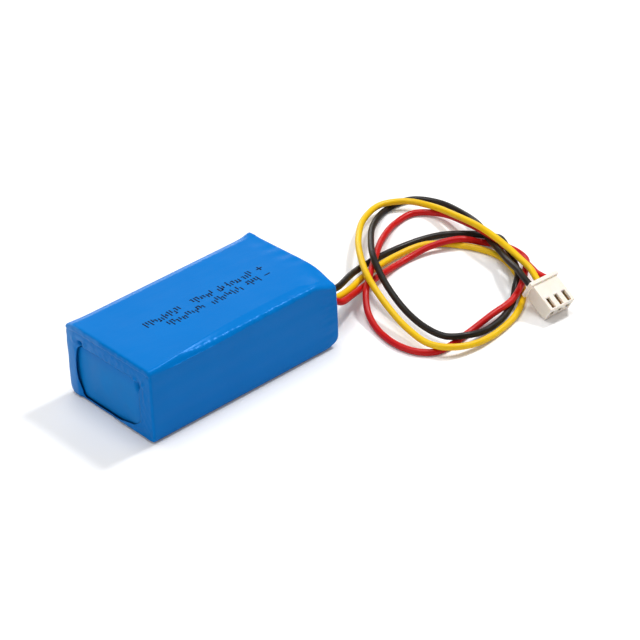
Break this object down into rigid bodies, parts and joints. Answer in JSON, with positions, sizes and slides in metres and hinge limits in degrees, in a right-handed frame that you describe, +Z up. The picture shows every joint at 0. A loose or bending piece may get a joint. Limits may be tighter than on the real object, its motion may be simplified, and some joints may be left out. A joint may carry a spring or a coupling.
{
  "type": "lipo battery pack",
  "caption": "Shrink-wrapped pouch-cell battery pack with a protection board, coiled coloured leads and a small crimp plug for charging or powering a model.",
  "frame": {"origin": "centre of the wrapped pack's base face, on the surface it stands on", "axes": "+X along the pack towards the end the leads leave, +Z up through the stacked cells, +Y to the left when looking along +X"},
  "size_m": [0.1196, 0.0673, 0.0194],
  "materials": {
    "shrink_film": "satin to glossy bright blue heat-shrink PVC film",
    "blue_card": "blue coated card, slightly darker than the film",
    "polyimide_tape": "translucent amber film",
    "adhesive_pad": "off-white tissue adhesive",
    "laminate_pouch": "satin laminate",
    "electrode_roll": "dark coated foil",
    "aluminium_tab": "bright foil strip",
    "nickel_strip": "nickel",
    "tab_seal_resin": "translucent resin",
    "solder": "bright solder",
    "board_laminate": "green solder mask",
    "black_chip": "moulded black",
    "tan_ceramic": "tan ceramic",
    "hot_melt_glue": "milky, wax-like",
    "black_insulation": "satin PVC",
    "yellow_insulation": "satin PVC",
    "red_insulation": "satin PVC",
    "copper_strand": "bare copper strand",
    "ivory_nylon": "natural nylon, satin",
    "tinned_contact": "tin plate"
  },
  "bodies": {
    "pack": {"shrink_sleeve": "shrink_film", "plain_end_card": "blue_card", "lead_end_card": "blue_card", "cell_wrap_tape": "polyimide_tape", "cell_pads": "adhesive_pad", "cell_1_pouch": "laminate_pouch", "cell_1_electrode_roll": "electrode_roll", "cell_1_positive_tab": "aluminium_tab", "cell_1_negative_tab": "nickel_strip", "cell_1_tab_seals": "tab_seal_resin", "cell_2_pouch": "laminate_pouch", "cell_2_electrode_roll": "electrode_roll", "cell_2_positive_tab": "aluminium_tab", "cell_2_negative_tab": "nickel_strip", "cell_2_tab_seals": "tab_seal_resin", "cell_3_pouch": "laminate_pouch", "cell_3_electrode_roll": "electrode_roll", "cell_3_positive_tab": "aluminium_tab", "cell_3_negative_tab": "nickel_strip", "cell_3_tab_seals": "tab_seal_resin", "cell_4_pouch": "laminate_pouch", "cell_4_electrode_roll": "electrode_roll", "cell_4_positive_tab": "aluminium_tab", "cell_4_negative_tab": "nickel_strip", "cell_4_tab_seals": "tab_seal_resin", "negative_link": "nickel_strip", "midpoint_link": "nickel_strip", "positive_link": "nickel_strip", "link_solder_joints": "solder", "link_insulator": "polyimide_tape", "protection_board": "board_laminate", "power_mosfets": "black_chip", "protection_ic": "black_chip", "chip_resistors": "black_chip", "chip_capacitors": "tan_ceramic", "lead_solder_joints": "solder", "lead_glue": "hot_melt_glue", "black_lead_tail": "black_insulation", "yellow_lead_tail": "yellow_insulation", "red_lead_tail": "red_insulation", "copper_cores_tail": "copper_strand"},
    "lead_elbow": {"black_lead_elbow": "black_insulation", "yellow_lead_elbow": "yellow_insulation", "red_lead_elbow": "red_insulation", "copper_cores_elbow": "copper_strand"},
    "lead_coil": {"black_lead_coil": "black_insulation", "yellow_lead_coil": "yellow_insulation", "red_lead_coil": "red_insulation", "copper_cores_coil": "copper_strand"},
    "plug_neck": {"black_lead_neck": "black_insulation", "yellow_lead_neck": "yellow_insulation", "red_lead_neck": "red_insulation", "copper_cores_neck": "copper_strand"},
    "plug": {"plug_housing": "ivory_nylon", "crimp_contacts": "tinned_contact", "black_lead_end": "black_insulation", "yellow_lead_end": "yellow_insulation", "red_lead_end": "red_insulation", "copper_cores_end": "copper_strand"}
  },
  "joints": [
    {"name": "lead_sway", "type": "hinge", "parent": "pack", "child": "lead_elbow", "pos_m": [0.0295, -0.0085, 0.00945], "axis": [0, 0, 1], "range_deg": [-18, 18]},
    {"name": "lead_lift", "type": "hinge", "parent": "lead_elbow", "child": "lead_coil", "pos_m": [0.0335, -0.0082, 0.0083], "axis": [0, 1, 0], "range_deg": [-38, 0]},
    {"name": "plug_tilt", "type": "hinge", "parent": "lead_coil", "child": "plug_neck", "pos_m": [0.07576, -0.03197, 0.00635], "axis": [0.9981, -0.061, 0], "range_deg": [-32, 0]},
    {"name": "plug_sway", "type": "hinge", "parent": "plug_neck", "child": "plug", "pos_m": [0.07479, -0.03483, 0.00639], "axis": [-0.0305, -0.4991, 0.866], "range_deg": [-15, 15]}
  ]
}
